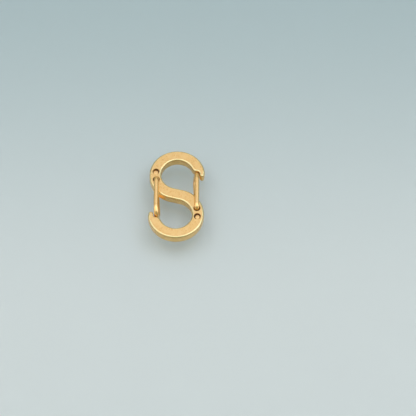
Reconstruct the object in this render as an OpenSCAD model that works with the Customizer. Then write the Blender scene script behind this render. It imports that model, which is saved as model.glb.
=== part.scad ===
// S-hook clasp: a flat plate bent into an S with two round loops. Each loop's
// mouth is closed by a spring gate of bent round wire.
//
// Frame: millimetres, +Z up, the clasp lies flat. The origin is under the middle
// of the S, on the surface that the two lower wire arms rest on. +Y runs along
// the clasp to the upper loop, +X to the upper loop's mouth.
//
// The clasp looks the same after half a turn about Z, so every shape is drawn
// for one half and repeated by a half turn.

/* [Plate] */
// Radius of each loop's outer side
outer_r = 6.4; // [6.34:0.02:6.44]
// Radius of each loop's opening
inner_r = 3.72; // [3.66:0.02:3.76]
// Width of the straight middle of the S
mid_w = 2.82; // [2.76:0.02:2.88]
// Thickness of the plate
plate_t = 2.35; // [2.1:0.05:2.6]
// Rounding along the edges of the plate
edge_r = 0.38; // [0.2:0.01:0.42]
// Length of the straight middle of the S, between the two loops
straight_l = 2.32; // [2.2:0.04:2.4]
// Slope of the straight middle, falling to the right
slope = 14.4; // [14:0.1:14.8]

/* [Hook ends] */
// Middle of the rounded nose, across the clasp
nose_x = 5.8; // [5.78:0.01:5.84]
// Middle of the rounded nose, along the clasp
nose_y = 5.16; // [5.1:0.01:5.22]
// Radius of the rounded nose
nose_r = 0.56; // [0.52:0.01:0.58]
// Inner side of the nose, which the gate rests behind
catch_x = 5.22; // [5.21:0.01:5.25]
// Floor of the notch that the gate's bend sits in
notch_y = 6.0; // [5.98:0.01:6.1]

/* [Hinge holes] */
// Radius of the hinge holes
hole_r = 0.775; // [0.765:0.005:0.8]
// Distance between the two holes at one end of the diagonal
hole_pitch = 2.12; // [2.1:0.01:2.2]
// Where the middle of the two holes lies, across the clasp
hinge_x = -4.735; // [-4.755:0.005:-4.715]
// Where the middle of the two holes lies, along the clasp
hinge_y = 4.87; // [4.84:0.01:4.9]
// How far the two holes lean out of line with the clasp
hole_lean = 0.05; // [0.04:0.005:0.06]

/* [Wire gates] */
// Diameter of the gate wire
wire_d = 1.1; // [1.04:0.01:1.12]
// Gap between the wire's arms and the faces of the plate
wire_gap = 0.06; // [0.04:0.01:0.1]
// Radius of the bend at each end, measured to the middle of the wire
elbow_r = 0.72; // [0.66:0.01:0.78]
// How deep each end of the wire stops below the far face
end_recess = 0.4; // [0.3:0.02:0.6]
// Rounding at the ends of the wire, as a small bevel
end_bevel = 0.12; // [0.05:0.01:0.2]
// How far the ends stand off the holes' middles
end_shift = 0.035; // [0.03:0.005:0.04]
// Where the front arm meets the bend at the tip, across the clasp
tip_x = -4.65; // [-4.68:0.01:-4.62]
// How much further in the back arm stands at the tip
tip_lean = 0.36; // [0.24:0.01:0.4]
// Gap between the bend at the tip and the floor of the notch
tip_gap = 0.05; // [0.04:0.01:0.1]

/* [Hidden] */

wire_r = wire_d / 2;
corner_n = 3;

// Heights, from the surface up. The beads at the tips just touch the surface.
bead_h = 0.01;
low_z = wire_r + bead_h;
back_z = low_z + wire_r + wire_gap;
front_z = back_z + plate_t;
high_z = front_z + wire_gap + wire_r;
mid_z = (low_z + high_z) / 2;

// Where the band of the upper loop starts before the mouth is cut, counted from
// the straight middle's own direction
start_a = 2;

// Each loop's two circles touch the two long sides of the straight middle, so
// the band is widest there. It is made of an outer and an inner strip, which
// overlap inside it.
strip_w = 1.6;

// Points along an arc, both ends counted
function arc(cx, cy, r, a0, a1, n) =
    [for (i = [0:n]) let (a = a0 + (a1 - a0) * i / n) [cx + r * cos(a), cy + r * sin(a)]];

// The two halves of a section's outline: its rounded side at the larger x, and
// its rounded side at the smaller x
function right_side(x) = concat(
    arc(x - edge_r, back_z + edge_r, edge_r, 270, 360, corner_n),
    arc(x - edge_r, front_z - edge_r, edge_r, 0, 90, corner_n)
);
function left_side(x) = concat(
    arc(x + edge_r, front_z - edge_r, edge_r, 90, 180, corner_n),
    arc(x + edge_r, back_z + edge_r, edge_r, 180, 270, corner_n)
);

// Outline of what is cut away at the upper loop's mouth: the shoulder, the floor
// of the notch, the inner side of the nose and the round tip of the nose
function mouth_outline() = concat(
    [[3.1, notch_y + 1.25]],
    arc(4.62, notch_y + 0.95, 0.95, 221.5, 270, 5),
    arc(catch_x - 0.5, notch_y - 0.5, 0.5, 90, 0, 6),
    arc(nose_x, nose_y, nose_r, 198, 372, 12),
    [[nose_x + 0.76, nose_y + 0.9], [8, nose_y + 0.9], [8, 2.6], [3.1, 2.6]]
);

// Middles of the near and far holes, and where the wire stands in them
near = [hinge_x + hole_lean, hinge_y - hole_pitch / 2];
far = [hinge_x - hole_lean, hinge_y + hole_pitch / 2];
near_end = [near[0] + end_shift, near[1] + 0.03];
far_end = [far[0] - end_shift, far[1] - 0.03];

// The bend at the tip is a half ring that leans by tip_lean
bend_r = sqrt(pow(high_z - low_z, 2) + pow(tip_lean, 2)) / 2;
bend_lean = atan2(tip_lean, high_z - low_z);
tip_y = -notch_y + tip_gap + wire_r + bend_r;
front_a = atan2(tip_x - near_end[0], near_end[1] - tip_y);
tip = [tip_x, tip_y];
back_tip = [tip_x + tip_lean * cos(front_a), tip_y + tip_lean * sin(front_a)];
back_a = atan2(back_tip[0] - far_end[0], far_end[1] - back_tip[1]);
joint_cut = 0.04;
cut_a = asin(joint_cut / bend_r);

// The band of the upper loop, drawn with the straight middle along X
module loop_band() {
    translate([-straight_l / 2, outer_r - mid_w / 2, 0])
        rotate_extrude(angle = 270 - start_a, start = start_a, $fn = 144)
            polygon(concat(
                right_side(outer_r),
                [[outer_r - strip_w, front_z], [outer_r - strip_w, back_z]]
            ));
    translate([-straight_l / 2, inner_r + mid_w / 2, 0])
        rotate_extrude(angle = 270 - start_a, start = start_a, $fn = 144)
            polygon(concat(
                left_side(inner_r),
                [[inner_r + strip_w, back_z], [inner_r + strip_w, front_z]]
            ));
}

// What is cut away at the upper loop's mouth, and the two hinge holes at the left
module loop_cuts() {
    translate([0, 0, back_z - 1])
        linear_extrude(height = plate_t + 2)
            polygon(mouth_outline());
    for (p = [near, far])
        translate([p[0], p[1], back_z - 1])
            cylinder(r = hole_r, h = plate_t + 2, $fn = 64);
}

// The whole S, one plate
module s_frame() {
    color([0.92, 0.75, 0.49])
        difference() {
            rotate([0, 0, -slope])
                union() {
                    rotate([90, 0, 90])
                        linear_extrude(height = straight_l, center = true)
                            polygon(concat(right_side(mid_w / 2), left_side(-mid_w / 2)));
                    loop_band();
                    rotate([0, 0, 180]) loop_band();
                }
            loop_cuts();
            rotate([0, 0, 180]) loop_cuts();
        }
}

// Part of a ring of wire that stands in the YZ plane
module wire_ring(r, a0, a) {
    rotate([0, 90, 0])
        rotate_extrude(angle = a, start = a0, $fn = 96)
            translate([r, 0]) circle(r = wire_r, $fn = 96);
}

// Straight end in a hole, the elbow above it and the arm that runs to -Y.
// up = 1 for the front arm, -1 for the back arm. l is the arm's whole length.
module wire_side(p, a, z, up, l, stop_z) {
    bend_z = z - up * elbow_r;
    stem = abs(bend_z - stop_z);
    translate([p[0], p[1], 0]) rotate([0, 0, a]) {
        translate([0, 0, up > 0 ? stop_z + end_bevel : bend_z])
            cylinder(r = wire_r, h = stem - end_bevel, $fn = 96);
        translate([0, 0, up > 0 ? stop_z : stop_z - end_bevel])
            cylinder(
                r1 = up > 0 ? wire_r - end_bevel : wire_r,
                r2 = up > 0 ? wire_r : wire_r - end_bevel,
                h = end_bevel, $fn = 96
            );
        translate([0, -elbow_r, bend_z]) wire_ring(elbow_r, up > 0 ? 90 : 0, 90);
        translate([0, -elbow_r, z]) rotate([90, 0, 0])
            cylinder(r = wire_r, h = l - elbow_r, $fn = 96);
    }
}

// A bead that joins an arm to the bend at the tip, where the wire turns slightly.
// It is hardly thicker than the wire, and both stop short inside it.
module wire_joint(p, z) {
    translate([p[0], p[1], z]) sphere(r = wire_r + bead_h, $fn = 96);
}

// One gate, as it stands at the left: a single bent wire
module wire_gate() {
    wire_side(near_end, front_a, high_z, 1, norm(tip - near_end) - joint_cut, back_z + end_recess);
    wire_joint(tip, high_z);
    translate([tip[0], tip[1], mid_z])
        rotate([0, 0, front_a])
            translate([tip_lean / 2, 0, 0])
                rotate([0, -bend_lean, 0])
                    wire_ring(bend_r, 180 + cut_a, 180 - 2 * cut_a);
    wire_joint(back_tip, low_z);
    wire_side(far_end, back_a, low_z, -1, norm(back_tip - far_end) - joint_cut, front_z - end_recess);
}

module left_gate() {
    color([0.95, 0.78, 0.48]) wire_gate();
}

module right_gate() {
    color([0.95, 0.78, 0.48]) rotate([0, 0, 180]) wire_gate();
}

s_frame();
left_gate();
right_gate();
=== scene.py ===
import math

import bpy
import numpy as np
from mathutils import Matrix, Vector, kdtree, noise
from mathutils.geometry import delaunay_2d_cdt


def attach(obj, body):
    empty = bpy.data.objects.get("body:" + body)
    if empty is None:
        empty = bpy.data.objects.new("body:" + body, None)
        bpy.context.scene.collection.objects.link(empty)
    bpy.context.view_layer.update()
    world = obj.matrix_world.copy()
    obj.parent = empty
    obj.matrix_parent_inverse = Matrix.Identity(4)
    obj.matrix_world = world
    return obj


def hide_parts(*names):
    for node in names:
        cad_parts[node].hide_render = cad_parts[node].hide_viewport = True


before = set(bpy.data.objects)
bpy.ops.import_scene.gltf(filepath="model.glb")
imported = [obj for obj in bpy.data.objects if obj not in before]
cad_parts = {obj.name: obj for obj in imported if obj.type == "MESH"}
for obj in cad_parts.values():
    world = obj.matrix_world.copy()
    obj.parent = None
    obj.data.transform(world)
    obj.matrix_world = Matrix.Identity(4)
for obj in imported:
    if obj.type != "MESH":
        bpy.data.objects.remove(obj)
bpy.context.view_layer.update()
MM = 0.001

# ------------------------------------------------------------------ sizes, mm
OUTER_R, INNER_R, MID_W, PLATE_T = 6.4, 3.72, 2.82, 2.35
STRAIGHT_L, SLOPE = 2.32, math.radians(14.4)
NOSE_X, NOSE_Y, NOSE_R = 5.8, 5.16, 0.56
CATCH_X, NOTCH_Y = 5.22, 6.0
EDGE_R, RIM_R, HOLD = 0.38, 0.05, 0.014
BACK_Z = 1.17
FACE_Z = BACK_Z + PLATE_T
HOLE_R = 0.775
NEAR, FAR = (-4.685, 3.81), (-4.785, 5.93)
NEAR_END, FAR_END = (-4.65, 3.84), (-4.82, 5.90)
WIRE_R, ELBOW_R = 0.55, 0.72
LOW_Z, HIGH_Z = 0.56, FACE_Z + 0.06 + WIRE_R
END_RECESS, END_R = 0.4, 0.12
TIP_X, TIP_LEAN, TIP_GAP = -4.65, 0.36, 0.05


# ------------------------------------------------------------- outline of the S
def arc(cx, cy, r, a0, a1, step=0.02):
    n = max(2, int(abs(math.radians(a1 - a0)) * r / step))
    t = np.radians(np.linspace(a0, a1, n + 1))
    return np.c_[cx + r * np.cos(t), cy + r * np.sin(t)]


def cross_circle(p, q, c, r):
    """Where the line from p to q meets a circle, for a line that crosses it once."""
    p, q, c = map(np.array, (p, q, c))
    lo, hi = 0.0, 1.0
    for _ in range(50):
        m = (lo + hi) / 2
        inside = np.linalg.norm(p + (q - p) * m - c) < r
        lo, hi = (m, hi) if inside else (lo, m)
    return p + (q - p) * lo


def circle_middle(height):
    """Middle of one of the upper loop's circles, given how far it is from the straight's own line."""
    x, s, k = -STRAIGHT_L / 2, math.sin(SLOPE), math.cos(SLOPE)
    return np.array((x * k + height * s, -x * s + height * k))


def s_outline(spacing):
    co, ci = circle_middle(OUTER_R - MID_W / 2), circle_middle(INNER_R + MID_W / 2)
    floor_arc = arc(4.62, NOTCH_Y + 0.95, 0.95, 221.5, 270)
    catch_arc = arc(CATCH_X - 0.5, NOTCH_Y - 0.5, 0.5, 90, 0)
    nose_arc = arc(NOSE_X, NOSE_Y, NOSE_R, 198, 372)
    shoulder = cross_circle((3.1, NOTCH_Y + 1.25), floor_arc[0], ci, INNER_R)
    shank = cross_circle(nose_arc[-1], (NOSE_X + 0.76, NOSE_Y + 0.9), co, OUTER_R)
    mouth = np.vstack([shoulder[None], floor_arc, catch_arc, nose_arc, shank[None]])
    end = 270 - math.degrees(SLOPE)
    a_nose = math.degrees(math.atan2(shank[1] - co[1], shank[0] - co[0]))
    a_shoulder = math.degrees(math.atan2(shoulder[1] - ci[1], shoulder[0] - ci[0]))
    half = np.vstack(
        [
            arc(co[0], co[1], OUTER_R, a_nose, end),
            -arc(ci[0], ci[1], INNER_R, end, a_shoulder),
            -mouth,
        ]
    )
    pts = np.vstack([half, -half])
    keep = np.linalg.norm(pts - np.roll(pts, 1, 0), axis=1) > 1e-6
    pts = pts[keep]
    # fine even spacing, softened corners, then the wanted spacing
    fine = resample(pts, 0.02)
    fine = smooth_closed(fine, 0.07 / 0.02)
    return resample(fine, spacing)


def resample(pts, spacing):
    closed = np.vstack([pts, pts[:1]])
    d = np.r_[0, np.cumsum(np.linalg.norm(np.diff(closed, axis=0), axis=1))]
    n = int(round(d[-1] / spacing / 2)) * 2
    t = np.arange(n) * d[-1] / n
    return np.c_[np.interp(t, d, closed[:, 0]), np.interp(t, d, closed[:, 1])]


def smooth_closed(pts, sigma):
    h = int(sigma * 4)
    k = np.exp(-0.5 * (np.arange(-h, h + 1) / sigma) ** 2)
    k /= k.sum()
    out = np.zeros_like(pts)
    for i, w in zip(range(-h, h + 1), k):
        out += np.roll(pts, i, 0) * w
    return out


def outward(pts):
    t = np.roll(pts, -1, 0) - np.roll(pts, 1, 0)
    t /= np.linalg.norm(t, axis=1)[:, None]
    return np.c_[t[:, 1], -t[:, 0]]


def inside_polygon(q, poly):
    x, y = q[:, 0], q[:, 1]
    hit = np.zeros(len(q), bool)
    x0, y0 = poly[:, 0], poly[:, 1]
    x1, y1 = np.roll(x0, -1), np.roll(y0, -1)
    for a, b, c, d in zip(x0, y0, x1, y1):
        if b == d:
            continue
        cond = (b > y) != (d > y)
        hit ^= cond & (x < (c - a) * (y - b) / (d - b) + a)
    return hit


def rounding(r, steps, hold):
    """(inset, drop) pairs from the wall up to the flat face, with a holding loop on each side."""
    out = [(0.0, r + hold)]
    for i in range(steps + 1):
        a = math.pi / 2 * i / steps
        out.append((r * (1 - math.cos(a)), r * (1 - math.sin(a))))
    out.append((r + hold, 0.0))
    return out


def edge_wear_and_painted_light(inset, drop):
    """Upper part of a rounded edge, rubbed pale and carrying a painted highlight, and lower part, with a
    painted dark line.
    """
    if drop <= 0 or inset >= EDGE_R:
        return 0.0, 0.0
    u = math.acos(1 - inset / EDGE_R) / (math.pi / 2)
    return min(1.0, max(0.0, (u - 0.25) / 0.2)), min(1.0, max(0.0, (0.42 - u) / 0.25))


# --------------------------------------------------------------- plate mesh
def build_plate():
    ring = s_outline(0.08)
    ring_n = outward(ring)
    seams = np.r_[0, np.cumsum(np.linalg.norm(np.diff(ring, axis=0), axis=1))]
    verts, faces, uv_of = [], [], []
    edge_w, deep, painted_dark_line_w, painted_bounce_w = [], [], [], []

    def add_loop(xy, z, w, u, v, inner=0.0, painted_dark_line=0.0):
        first = len(verts)
        for (x, y), uu, inn in zip(xy, u, np.broadcast_to(inner, len(xy))):
            verts.append((x, y, z))
            edge_w.append(w)
            uv_of.append((uu, v))
            deep.append(float(inn))
            painted_dark_line_w.append(painted_dark_line)
            painted_bounce_w.append(0.0)
        return list(range(first, first + len(xy)))

    def strip(a, b):
        n = len(a)
        for i in range(n):
            j = (i + 1) % n
            faces.append((a[i], a[j], b[j], b[i]))

    # side wall, from the bottom face round to the top face
    prof = rounding(EDGE_R, 9, HOLD)
    levels = []  # (inset, z, rubbed edge with painted highlight, painted dark line)
    for inset, drop in reversed(prof):
        levels.append((inset, BACK_Z + drop, *edge_wear_and_painted_light(inset, drop)))
    z0, z1 = BACK_Z + EDGE_R + HOLD, FACE_Z - EDGE_R - HOLD
    rows = 9
    for k in range(1, rows):
        z = z0 + (z1 - z0) * k / rows
        levels.append((0.0, z, 0.0, 0.0))
    for inset, drop in prof:
        levels.append((inset, FACE_Z - drop, *edge_wear_and_painted_light(inset, drop)))
    # painted orange reflection of the gold and painted shade in the nooks beside the catches and under the
    # gates, more of it low on the wall
    side = np.sign(ring[:, 0])[:, None]
    gap = np.hypot(*(ring * side - (CATCH_X, NOTCH_Y - 0.45)).T)
    under = np.hypot(*(ring * side - (3.3, 0.1)).T)
    painted_bounce = np.maximum(np.clip((1.3 - gap) / 0.5, 0, 1), 0.8 * np.clip((1.3 - under) / 0.7, 0, 1))
    loops, v = [], 0.0
    for i, (inset, z, w, painted_dark_line) in enumerate(levels):
        if i:
            v += math.hypot(inset - levels[i - 1][0], z - levels[i - 1][1])
        # the wall is very slightly crowned, as a polished casting's is
        mid = (BACK_Z + FACE_Z) / 2
        crown = 0.003 + 0.011 * ((z - mid) / (PLATE_T / 2)) ** 2 if inset == 0 else 0.014
        loops.append(add_loop(ring - ring_n * (inset + crown), z, w, seams, v, 0.0, painted_dark_line))
        low = min(1.0, max(0.0, (FACE_Z - 0.3 - z) / 0.5))
        for k, n in zip(loops[-1], painted_bounce):
            painted_bounce_w[k] = n * low
    for a, b in zip(loops, loops[1:]):
        strip(a, b)
    bottom_loop, top_loop = loops[0], loops[-1]

    # hinge holes
    holes = [NEAR, FAR, (-NEAR[0], -NEAR[1]), (-FAR[0], -FAR[1])]
    n_h = 72
    th = np.arange(n_h) * 2 * math.pi / n_h
    circle = np.c_[np.cos(th), np.sin(th)]
    rim = rounding(RIM_R, 4, 0.008)
    # painted shade in the holes, in each one heavier on one side: least, most and where
    hole_shade_spread = [(0.0, 0.9, 170), (0.0, 0.5, 15), (0.2, 1.0, -20), (0.85, 1.0, 120)]
    bottom_holes, top_holes = [], []
    for (cx, cy), (least, most, where) in zip(holes, hole_shade_spread):
        c = np.array((cx, cy))
        hole_shade_weight = least + (most - least) * np.clip(np.cos(th - math.radians(where)), 0, 1)
        lv = [(HOLE_R + i, BACK_Z + d, 0.0) for i, d in reversed(rim)]
        for k in range(1, 6):
            z = BACK_Z + RIM_R + (PLATE_T - 2 * RIM_R) * k / 6
            lv.append((HOLE_R, z, 0.0))
        lv += [(HOLE_R + i, FACE_Z - d, 0.6 if 0 < d < RIM_R else 0.0) for i, d in rim]
        hl = [
            add_loop(c + circle * r, z, w, th, z, hole_shade_weight * min(1.0, max(0.0, min(FACE_Z - z, z - BACK_Z) / 0.2)))
            for r, z, w in lv
        ]
        for a, b in zip(hl, hl[1:]):
            strip(b, a)
        bottom_holes.append(hl[0])
        top_holes.append(hl[-1])

    # flat faces: the border loops with an even field of points between them
    border = np.array([verts[i][:2] for i in top_loop])
    hole_rims = [np.array([verts[i][:2] for i in h]) for h in top_holes]
    g = 0.16
    gy = np.arange(-12, 12, g * math.sqrt(3) / 2)
    pts = []
    for k, y in enumerate(gy):
        xs = np.arange(-7, 7, g) + (g / 2 if k % 2 else 0)
        pts.append(np.c_[xs, np.full(len(xs), y)])
    pts = np.vstack(pts)
    pts = pts[inside_polygon(pts, border)]
    for cx, cy in holes:
        pts = pts[np.hypot(pts[:, 0] - cx, pts[:, 1] - cy) > HOLE_R + RIM_R + 0.07]
    tree = kdtree.KDTree(len(border))
    for i, (x, y) in enumerate(border):
        tree.insert((x, y, 0), i)
    tree.balance()
    pts = np.array([p for p in pts if tree.find((p[0], p[1], 0))[2] > 0.08])
    flat = [Vector(p) for p in border]
    edges = [(i, (i + 1) % len(border)) for i in range(len(border))]
    for h in hole_rims:
        s = len(flat)
        flat += [Vector(p) for p in h]
        edges += [(s + i, s + (i + 1) % len(h)) for i in range(len(h))]
    rim_r = HOLE_R + rim[-1][0]
    flat += [Vector(p) for p in pts]
    out_v, _, out_f, orig_v, _, _ = delaunay_2d_cdt(flat, edges, [], 1, 1e-6)
    back = [o[0] if o else None for o in orig_v]
    tris = []
    for f in out_f:
        cx = sum(out_v[i][0] for i in f) / 3
        cy = sum(out_v[i][1] for i in f) / 3
        if any(math.hypot(cx - hx, cy - hy) < rim_r * math.cos(1.2 * math.pi / n_h) for hx, hy in holes):
            continue
        tri = [back[i] for i in f]
        a, b, c = (out_v[i] for i in f)
        if (b[0] - a[0]) * (c[1] - a[1]) - (b[1] - a[1]) * (c[0] - a[0]) < 0:
            tri.reverse()
        tris.append(tri)
    for z, loop, hs, flip in (
        (FACE_Z, top_loop, top_holes, False),
        (BACK_Z, bottom_loop, bottom_holes, True),
    ):
        index = list(loop) + [i for h in hs for i in h]
        for x, y in pts:
            index.append(len(verts))
            verts.append((x, y, z))
            edge_w.append(0.0)
            uv_of.append((x, y))
            deep.append(0.0)
            painted_dark_line_w.append(0.0)
            painted_bounce_w.append(0.0)
        for t in tris:
            t = [index[i] for i in t]
            faces.append(tuple(reversed(t)) if flip else tuple(t))
    return np.array(verts), faces, uv_of, {"edge": edge_w, "deep": deep, "painted_dark_line": painted_dark_line_w, "painted_bounce": painted_bounce_w}


def waviness(co, amp, scale, seed):
    """A casting isn't quite flat: a few thousandths of a millimetre, over a millimetre or two."""
    off = Vector((seed * 7.3, seed * 3.1, seed * 5.7))
    return np.array([noise.noise(Vector(c) * scale + off) for c in co]) * amp


def make_mesh(name, verts, faces, uv_of, **weights):
    me = bpy.data.meshes.new(name)
    me.from_pydata([tuple(float(a) * MM for a in v) for v in verts], [], faces)
    me.validate()
    me.polygons.foreach_set("use_smooth", [True] * len(me.polygons))
    for key, values in weights.items():
        a = me.attributes.new(key, "FLOAT", "POINT")
        a.data.foreach_set("value", np.array(values, np.float32))
    layer = me.uv_layers.new(name="UVMap")
    vi = np.zeros(len(me.loops), np.int32)
    me.loops.foreach_get("vertex_index", vi)
    layer.data.foreach_set("uv", np.array(uv_of, np.float32)[vi].ravel())
    me.update()
    ob = bpy.data.objects.new(name, me)
    bpy.context.scene.collection.objects.link(ob)
    return ob


# ---------------------------------------------------------------- wire gate
def wire_path():
    """Centre line of the left gate, from its end in the near hole to its end in the far hole."""
    bend_r = math.hypot(HIGH_Z - LOW_Z, TIP_LEAN) / 2
    tip_y = -NOTCH_Y + TIP_GAP + WIRE_R + bend_r
    fa = math.atan2(TIP_X - NEAR_END[0], NEAR_END[1] - tip_y)
    xl = Vector((math.cos(fa), math.sin(fa), 0))
    yl = Vector((-math.sin(fa), math.cos(fa), 0))
    tip = Vector((TIP_X, tip_y, HIGH_Z))
    back_tip = Vector((TIP_X, tip_y, LOW_Z)) + xl * TIP_LEAN
    ba = math.atan2(back_tip.x - FAR_END[0], FAR_END[1] - back_tip.y)
    yb = Vector((-math.sin(ba), math.cos(ba), 0))
    up = Vector((0, 0, 1))
    p = []

    def line(a, b, step=0.12):
        n = max(2, int((b - a).length / step))
        p.extend(a + (b - a) * (i / n) for i in range(n))

    near = Vector((NEAR_END[0], NEAR_END[1], 0))
    far = Vector((FAR_END[0], FAR_END[1], 0))
    line(near + up * (BACK_Z + END_RECESS), near + up * (HIGH_Z - ELBOW_R))
    c = near - yl * ELBOW_R + up * (HIGH_Z - ELBOW_R)
    n = 14
    for i in range(n):
        a = math.pi / 2 * i / n
        p.append(c + yl * ELBOW_R * math.cos(a) + up * ELBOW_R * math.sin(a))
    line(near - yl * ELBOW_R + up * HIGH_Z, tip)
    mid = (tip + back_tip) / 2
    e1 = (tip - mid).normalized()
    n = 44
    for i in range(n):
        a = math.pi * i / n
        p.append(mid + e1 * bend_r * math.cos(a) - yl * bend_r * math.sin(a))
    line(back_tip, far - yb * ELBOW_R + up * LOW_Z)
    c = far - yb * ELBOW_R + up * (LOW_Z + ELBOW_R)
    n = 14
    for i in range(n):
        a = math.pi / 2 * i / n
        p.append(c - up * ELBOW_R * math.cos(a) + yb * ELBOW_R * math.sin(a))
    line(far + up * (LOW_Z + ELBOW_R), far + up * (FACE_Z - END_RECESS))
    p.append(far + up * (FACE_Z - END_RECESS))
    return np.array([tuple(v) for v in p])


def even_path(p, step):
    d = np.r_[0, np.cumsum(np.linalg.norm(np.diff(p, axis=0), axis=1))]
    n = int(round(d[-1] / step))
    t = np.linspace(0, d[-1], n + 1)
    return np.c_[tuple(np.interp(t, d, p[:, k]) for k in range(3))], t


def soft_path():
    """The centre line with its joints eased, its tangents and a frame that doesn't twist."""
    fine, _ = even_path(wire_path(), 0.02)
    k = np.exp(-0.5 * (np.arange(-12, 13) / 4.0) ** 2)
    k /= k.sum()
    pad = np.vstack([2 * fine[0] - fine[12:0:-1], fine, 2 * fine[-1] - fine[-2:-14:-1]])
    soft = np.c_[tuple(np.convolve(pad[:, i], k, "valid") for i in range(3))]
    path, t = even_path(soft, 0.08)
    tan = np.gradient(path, axis=0)
    tan /= np.linalg.norm(tan, axis=1)[:, None]
    side = np.zeros_like(path)
    side[0] = np.cross(tan[0], (0, 1, 0))
    side[0] /= np.linalg.norm(side[0])
    for i in range(1, len(path)):
        v = side[i - 1] - tan[i] * (side[i - 1] @ tan[i])
        side[i] = v / np.linalg.norm(v)
    return path, tan, side, np.cross(tan, side), t


def wire_mesh():
    path, tan, side, other, t = soft_path()
    n_s = 56
    th = np.arange(n_s) * 2 * math.pi / n_s
    verts, faces, uv_of, rings = [], [], [], []

    def add(c, a, b, r, v):
        first = len(verts)
        for q in th:
            verts.append(c + (a * math.cos(q) + b * math.sin(q)) * r)
            uv_of.append((q * WIRE_R, v))
        rings.append(list(range(first, first + n_s)))

    total = t[-1]
    dome = 0.012  # the cut end is barely crowned
    flat_r = WIRE_R - END_R

    def end_rings(c, tn, a, b, sign, v):
        """From the middle of the end face out to the side of the wire."""
        out = []
        for f in (0.12, 0.35, 0.6, 0.82, 0.97):
            out.append((flat_r * f, dome * (f * f)))
        for i in range(0, 8):
            q = math.pi / 2 * i / 7
            out.append((flat_r + END_R * math.sin(q), dome + (END_R - dome) * (1 - math.cos(q))))
        for r, depth in out if sign > 0 else reversed(out):
            add(c + tn * sign * depth, a, b, r, v + sign * depth)

    end_rings(path[0], tan[0], side[0], other[0], 1, 0.0)
    for i in range(len(path)):
        if END_R + 0.02 < t[i] < total - END_R - 0.02:
            add(path[i], side[i], other[i], WIRE_R, t[i])
    end_rings(path[-1], tan[-1], side[-1], other[-1], -1, total)
    for a, b in zip(rings, rings[1:]):
        for i in range(n_s):
            j = (i + 1) % n_s
            faces.append((a[i], a[j], b[j], b[i]))
    first, last = len(verts), len(verts) + 1
    verts += [path[0], path[-1]]
    uv_of += [(0, 0), (0, total)]
    for i in range(n_s):
        j = (i + 1) % n_s
        faces.append((first, rings[0][j], rings[0][i]))
        faces.append((last, rings[-1][i], rings[-1][j]))
    return np.array(verts), faces, uv_of


pv, pf, puv, p_weights = build_plate()
pn = np.zeros_like(pv)
for f in pf:
    a, b, c = pv[f[0]], pv[f[1]], pv[f[2]]
    pn[list(f)] += np.cross(b - a, c - a)
pn /= np.linalg.norm(pn, axis=1)[:, None]
# only ever inwards, so that the plate keeps its size
dent = waviness(pv, 0.0022, 0.8, 1) + waviness(pv, 0.0008, 2.3, 2) - 0.003
pv = pv + pn * (dent * (1 - np.array(p_weights["deep"])))[:, None]
plate = make_mesh("s_plate", pv, pf, puv, **p_weights)

wv, wf, wuv = wire_mesh()
left = make_mesh("left_gate_wire", wv, wf, wuv)
right = make_mesh("right_gate_wire", wv * (-1, -1, 1), wf, wuv)

for ob, body, node, slot in (
    (plate, "plate", "s_frame", "gold_plate"),
    (left, "left_wire", "left_gate", "gold_wire"),
    (right, "right_wire", "right_gate", "gold_wire"),
):
    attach(ob, body)
    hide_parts(node)


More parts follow.
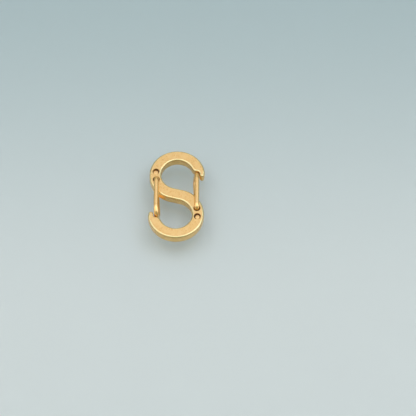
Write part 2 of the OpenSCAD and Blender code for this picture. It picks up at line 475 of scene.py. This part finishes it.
# ------------------------------------------------------------------ materials
class Net:
    """Short names for the shader nodes that the materials share."""

    def __init__(self, name):
        self.m = bpy.data.materials.new(name)
        self.m.use_nodes = True
        self.nt = self.m.node_tree
        self.b = self.nt.nodes["Principled BSDF"]

    def put(self, socket, value):
        if isinstance(value, bpy.types.NodeSocket):
            self.nt.links.new(value, socket)
        else:
            socket.default_value = value

    def node(self, kind, **settings):
        n = self.nt.nodes.new(kind)
        for k, v in settings.items():
            setattr(n, k, v)
        return n

    def math(self, op, a, b=0.0, c=0.0, clamp=False):
        n = self.node("ShaderNodeMath", operation=op, use_clamp=clamp)
        for i, v in enumerate((a, b, c)):
            self.put(n.inputs[i], v)
        return n.outputs[0]

    def vec(self, op, a, b=(0, 0, 0), scale=None):
        n = self.node("ShaderNodeVectorMath", operation=op)
        self.put(n.inputs[0], a)
        self.put(n.inputs[1], b)
        if scale is not None:
            self.put(n.inputs["Scale"], scale)
        return n.outputs[0]

    def ramp(self, v, lo, hi, a=0.0, b=1.0, kind="SMOOTHSTEP"):
        n = self.node("ShaderNodeMapRange", interpolation_type=kind)
        for k, x in zip(("Value", "From Min", "From Max", "To Min", "To Max"), (v, lo, hi, a, b)):
            self.put(n.inputs[k], x)
        return n.outputs[0]

    def noise(self, p, scale, detail=3.0, rough=0.55, distortion=0.0):
        n = self.node("ShaderNodeTexNoise")
        for k, x in (("Vector", p), ("Scale", scale), ("Detail", detail), ("Roughness", rough), ("Distortion", distortion)):
            self.put(n.inputs[k], x)
        return n.outputs["Fac"]

    def mix(self, f, a, b):
        n = self.node("ShaderNodeMix", data_type="RGBA", clamp_factor=True)
        self.put(n.inputs[0], f)
        self.put(n.inputs[6], a)
        self.put(n.inputs[7], b)
        return n.outputs[2]

    def attr(self, name):
        return self.node("ShaderNodeAttribute", attribute_type="GEOMETRY", attribute_name=name).outputs["Fac"]

    def bump(self, height, distance, strength=1.0, normal=None):
        n = self.node("ShaderNodeBump")
        self.put(n.inputs["Strength"], strength)
        self.put(n.inputs["Distance"], distance)
        self.put(n.inputs["Height"], height)
        if normal is not None:
            self.put(n.inputs["Normal"], normal)
        return n.outputs["Normal"]

    def millimetres(self, turn=(0, 0, 0)):
        co = self.node("ShaderNodeTexCoord").outputs["Object"]
        n = self.node("ShaderNodeMapping")
        self.put(n.inputs["Vector"], co)
        self.put(n.inputs["Rotation"], turn)
        self.put(n.inputs["Scale"], (1000, 1000, 1000))
        return n.outputs[0]

    def hairlines(self, p, turn, count, keep):
        """Sparse fine scratches, mostly along one direction."""
        n = self.node("ShaderNodeMapping")
        self.put(n.inputs["Vector"], p)
        self.put(n.inputs["Rotation"], (0, 0, math.radians(turn)))
        self.put(n.inputs["Scale"], (0.5, count, 0.5))
        line = self.noise(n.outputs[0], 1.0, 2.0, 0.5, 0.25)
        thin = self.math("ABSOLUTE", self.math("SUBTRACT", line, 0.5))
        return self.ramp(thin, 0.0, keep, 1.0, 0.0)


GOLD = (0.90, 0.61, 0.26, 1)
GOLD_LIGHT = (0.93, 0.665, 0.30, 1)
GOLD_DEEP = (0.865, 0.555, 0.21, 1)
WIRE = (0.97, 0.645, 0.285, 1)
WIRE_LIGHT = (0.99, 0.70, 0.34, 1)
WIRE_DEEP = (0.93, 0.59, 0.24, 1)
# pale rubbed edge colour, also a painted cream highlight
WORN_AND_HIGHLIGHT = (0.73, 0.665, 0.375, 1)
# painted dark line: a painted dark reflection under the edge highlight
PAINTED_DARK_LINE = (0.68, 0.40, 0.13, 1)
# painted orange reflection of the gold, with painted shade, for the nooks
PAINTED_BOUNCE = (0.90, 0.47, 0.07, 1)
# painted shade for the insides of the hinge holes
PAINTED_HOLE_SHADE = (0.26, 0.08, 0.03, 1)


def plate_material():
    """Plated casting: satin faces, tumbled edges that are a little paler and carry a painted highlight and a
    painted dark line, painted shade in the hinge holes and a painted gold reflection in the nooks.
    """
    k = Net("gold_plate")
    p = k.millimetres()
    edge, deep, painted_dark_line = k.attr("edge"), k.attr("deep"), k.attr("painted_dark_line")
    mottle = k.noise(p, 1.3, 4.0, 0.6)
    cloud = k.noise(p, 0.35, 2.0, 0.5)
    grain = k.noise(p, 9.0, 4.0, 0.65)
    fine = k.noise(p, 34.0, 2.0, 0.5)
    hair = k.math("ADD", k.hairlines(p, 28, 9.0, 0.012), k.hairlines(p, -57, 7.0, 0.009))
    pits = k.node("ShaderNodeTexVoronoi", feature="F1")
    k.put(pits.inputs["Vector"], p)
    k.put(pits.inputs["Scale"], 3.1)
    pit = k.ramp(pits.outputs["Distance"], 0.02, 0.09, 1.0, 0.0)
    pit = k.math("MULTIPLY", pit, k.ramp(k.noise(p, 0.9, 1.0), 0.56, 0.66))

    tone = k.math("ADD", k.math("MULTIPLY", mottle, 0.65), k.math("MULTIPLY", cloud, 0.35))
    base = k.mix(k.ramp(tone, 0.36, 0.62), GOLD_DEEP, GOLD)
    base = k.mix(k.ramp(grain, 0.52, 0.75, 0.0, 0.35), base, GOLD_LIGHT)
    # paler rubbed edges, also a painted highlight on the upper part of each rounded edge
    worn_and_highlight = k.math("MULTIPLY", edge, k.ramp(mottle, 0.3, 0.62, 0.35, 1.0))
    base = k.mix(worn_and_highlight, base, WORN_AND_HIGHLIGHT)
    # painted dark line on the lower part of the rounded edges
    base = k.mix(k.math("MULTIPLY", painted_dark_line, k.ramp(cloud, 0.3, 0.7, 0.55, 0.85)), base, PAINTED_DARK_LINE)
    base = k.mix(k.math("MULTIPLY", pit, 0.1), base, GOLD_DEEP)
    # painted orange reflection of the gold and painted shade in the nooks beside the catches and under the
    # gates
    base = k.mix(k.math("MULTIPLY", k.attr("painted_bounce"), k.ramp(grain, 0.3, 0.7, 0.75, 0.95)), base, PAINTED_BOUNCE)
    # painted shade inside the hinge holes, which are also made less metallic there
    base = k.mix(k.math("MULTIPLY", deep, 0.9), base, PAINTED_HOLE_SHADE)
    k.put(k.b.inputs["Base Color"], base)
    k.put(k.b.inputs["Metallic"], k.ramp(deep, 0.55, 1.0, 1.0, 0.2))
    rough = k.ramp(mottle, 0.3, 0.7, 0.25, 0.36, "LINEAR")
    rough = k.math("ADD", rough, k.ramp(grain, 0.35, 0.7, -0.03, 0.04, "LINEAR"))
    rough = k.math("SUBTRACT", rough, k.math("MULTIPLY", worn_and_highlight, 0.14))
    rough = k.math("ADD", rough, k.math("MULTIPLY", hair, 0.05))
    rough = k.math("ADD", rough, k.math("MULTIPLY", deep, 0.06), clamp=True)
    k.put(k.b.inputs["Roughness"], rough)
    h = k.math("MULTIPLY", grain, 0.6)
    h = k.math("ADD", h, k.math("MULTIPLY", fine, 0.22))
    h = k.math("SUBTRACT", h, k.math("MULTIPLY", hair, 0.18))
    h = k.math("SUBTRACT", h, k.math("MULTIPLY", pit, 0.15))
    k.put(k.b.inputs["Normal"], k.bump(h, 0.0000016))
    return k.m


def wire_material():
    """Plated drawn wire: polished, with faint lines along it."""
    k = Net("gold_wire")
    p = k.millimetres()
    uv = k.node("ShaderNodeTexCoord").outputs["UV"]
    n = k.node("ShaderNodeMapping")
    k.put(n.inputs["Vector"], uv)
    k.put(n.inputs["Scale"], (1.0, 0.045, 1.0))
    lines = k.noise(n.outputs[0], 14.0, 3.0, 0.6)
    mottle = k.noise(p, 1.6, 4.0, 0.6)
    grain = k.noise(p, 12.0, 3.0, 0.6)
    base = k.mix(k.ramp(mottle, 0.36, 0.62), WIRE_DEEP, WIRE)
    base = k.mix(k.ramp(lines, 0.5, 0.72, 0.0, 0.5), base, WIRE_LIGHT)
    k.put(k.b.inputs["Base Color"], base)
    k.b.inputs["Metallic"].default_value = 1.0
    rough = k.ramp(mottle, 0.3, 0.7, 0.11, 0.18, "LINEAR")
    rough = k.math("ADD", rough, k.ramp(lines, 0.35, 0.7, -0.03, 0.05, "LINEAR"), clamp=True)
    k.put(k.b.inputs["Roughness"], rough)
    h = k.math("ADD", k.math("MULTIPLY", lines, 0.7), k.math("MULTIPLY", grain, 0.3))
    k.put(k.b.inputs["Normal"], k.bump(h, 0.0000012))
    return k.m


plate.data.materials.append(plate_material())
wm = wire_material()
left.data.materials.append(wm)
right.data.materials.append(wm)

# ---------------------------------------------------------------------- floor
SHEET = 3.4  # apparent depth of the clear sheet that the clasp lies on, mm


def flat_square(name, half, z):
    me = bpy.data.meshes.new(name)
    me.from_pydata([(-half, -half, z), (half, -half, z), (half, half, z), (-half, half, z)], [], [(0, 1, 2, 3)])
    ob = bpy.data.objects.new(name, me)
    bpy.context.scene.collection.objects.link(ob)
    return ob


def floor_material():
    """Pale matt paper, a little darker and greener towards the back."""
    k = Net("floor")
    p = k.millimetres()
    y = k.node("ShaderNodeSeparateXYZ")
    k.put(y.inputs[0], p)
    far = k.ramp(y.outputs["Y"], -30.0, 80.0)
    base = k.mix(far, (0.768, 0.826, 0.800, 1), (0.524, 0.640, 0.638, 1))
    fibre = k.noise(p, 1.2, 5.0, 0.6)
    base = k.mix(k.ramp(fibre, 0.35, 0.7, 0.0, 0.03), base, (0.82, 0.87, 0.87, 1))
    k.put(k.b.inputs["Base Color"], base)
    k.b.inputs["Roughness"].default_value = 0.8
    k.b.inputs["Specular IOR Level"].default_value = 0.1
    k.put(k.b.inputs["Normal"], k.bump(fibre, 0.00001, 0.3))
    return k.m


def sheet_material():
    """Clear sheet: it lets the paper show and mirrors a little."""
    m = bpy.data.materials.new("clear_sheet")
    m.use_nodes = True
    nt = m.node_tree
    nt.nodes.remove(nt.nodes["Principled BSDF"])
    out = nt.nodes["Material Output"]
    clear = nt.nodes.new("ShaderNodeBsdfTransparent")
    gloss = nt.nodes.new("ShaderNodeBsdfGlossy")
    gloss.inputs["Roughness"].default_value = 0.12
    fresnel = nt.nodes.new("ShaderNodeFresnel")
    fresnel.inputs["IOR"].default_value = 1.49
    mix = nt.nodes.new("ShaderNodeMixShader")
    nt.links.new(fresnel.outputs[0], mix.inputs[0])
    nt.links.new(clear.outputs[0], mix.inputs[1])
    nt.links.new(gloss.outputs[0], mix.inputs[2])
    nt.links.new(mix.outputs[0], out.inputs["Surface"])
    return m


floor = flat_square("floor", 2, -SHEET * MM)
floor.data.materials.append(floor_material())
sheet = flat_square("clear_sheet", 2, -0.00001)
sheet.data.materials.append(sheet_material())

# --------------------------------------------------------------------- lights
def studio():
    """A light tent: dim walls, a large soft light at each side, a smaller one
    overhead and a dark gap low in front, where the camera stands."""
    world = bpy.data.worlds.new("studio")
    bpy.context.scene.world = world
    world.use_nodes = True
    nt = world.node_tree
    sky = nt.nodes.new("ShaderNodeTexCoord").outputs["Generated"]

    def direction(azimuth, elevation):
        a, e = math.radians(azimuth), math.radians(elevation)
        return (math.sin(a) * math.cos(e), math.cos(a) * math.cos(e), math.sin(e))

    def lobe(azimuth, elevation, inner, outer, at_edge=0.0, at_middle=1.0):
        d = nt.nodes.new("ShaderNodeVectorMath")
        d.operation = "DOT_PRODUCT"
        nt.links.new(sky, d.inputs[0])
        d.inputs[1].default_value = direction(azimuth, elevation)
        r = nt.nodes.new("ShaderNodeMapRange")
        r.interpolation_type = "SMOOTHSTEP"
        nt.links.new(d.outputs["Value"], r.inputs["Value"])
        r.inputs["From Min"].default_value = math.cos(math.radians(outer))
        r.inputs["From Max"].default_value = math.cos(math.radians(inner))
        r.inputs["To Min"].default_value = at_edge
        r.inputs["To Max"].default_value = at_middle
        return r.outputs[0]

    def vector(op, a, b):
        n = nt.nodes.new("ShaderNodeVectorMath")
        n.operation = op
        for socket, v in zip(n.inputs, (a, b)):
            if isinstance(v, bpy.types.NodeSocket):
                nt.links.new(v, socket)
            else:
                socket.default_value = v
        return n.outputs[0]

    light = None
    for az, el, inner, outer, colour in LIGHTS:
        part = vector("MULTIPLY", lobe(az, el, inner, outer), colour)
        light = part if light is None else vector("ADD", light, part)
    light = vector("MULTIPLY", light, lobe(180, 8, 18, 50, 1.0, 0.0))
    light = vector("ADD", light, AMBIENT)
    background = nt.nodes["Background"]
    nt.links.new(light, background.inputs["Color"])
    background.inputs["Strength"].default_value = 1.0


AMBIENT = (0.385, 0.41, 0.295)
# azimuth from +Y towards +X, elevation, inner and outer half-width, colour
LIGHTS = (
    (140, 80, 16, 50, (0.56, 0.565, 0.59)),
    (95, 48, 15, 50, (0.82, 0.86, 1.08)),
    (100, 10, 8, 22, (0.75, 0.78, 0.85)),
    (258, 45, 15, 55, (0.80, 0.75, 0.84)),
    (0, 58, 12, 40, (0.22, 0.20, 0.36)),
    (0, 20, 12, 36, (0.26, 0.24, 0.19)),
)
studio()
bpy.context.scene.view_settings.view_transform = "Standard"

# --------------------------------------------------------------------- camera
PX = 0.2292 * MM
ELEV = math.radians(60)
back = Vector((0, -math.cos(ELEV), math.sin(ELEV)))
up = Vector((0, math.sin(ELEV), math.cos(ELEV)))
aim = Vector((0, 0, FACE_Z * MM)) + Vector(((208 - 176.5) * PX, 0, 0)) - up * (208 - 193.52) * PX
dist = 0.42
cam_data = bpy.data.cameras.new("camera")
cam = bpy.data.objects.new("camera", cam_data)
bpy.context.scene.collection.objects.link(cam)
cam.location = aim + back * dist
cam.rotation_mode = "QUATERNION"
cam.rotation_quaternion = (-back).to_track_quat("-Z", "Y")
cam_data.sensor_width = 36
cam_data.sensor_height = 36
cam_data.lens = 36 * dist / (416 * PX)
cam_data.clip_start = 0.01
cam_data.clip_end = 10
bpy.context.scene.camera = cam
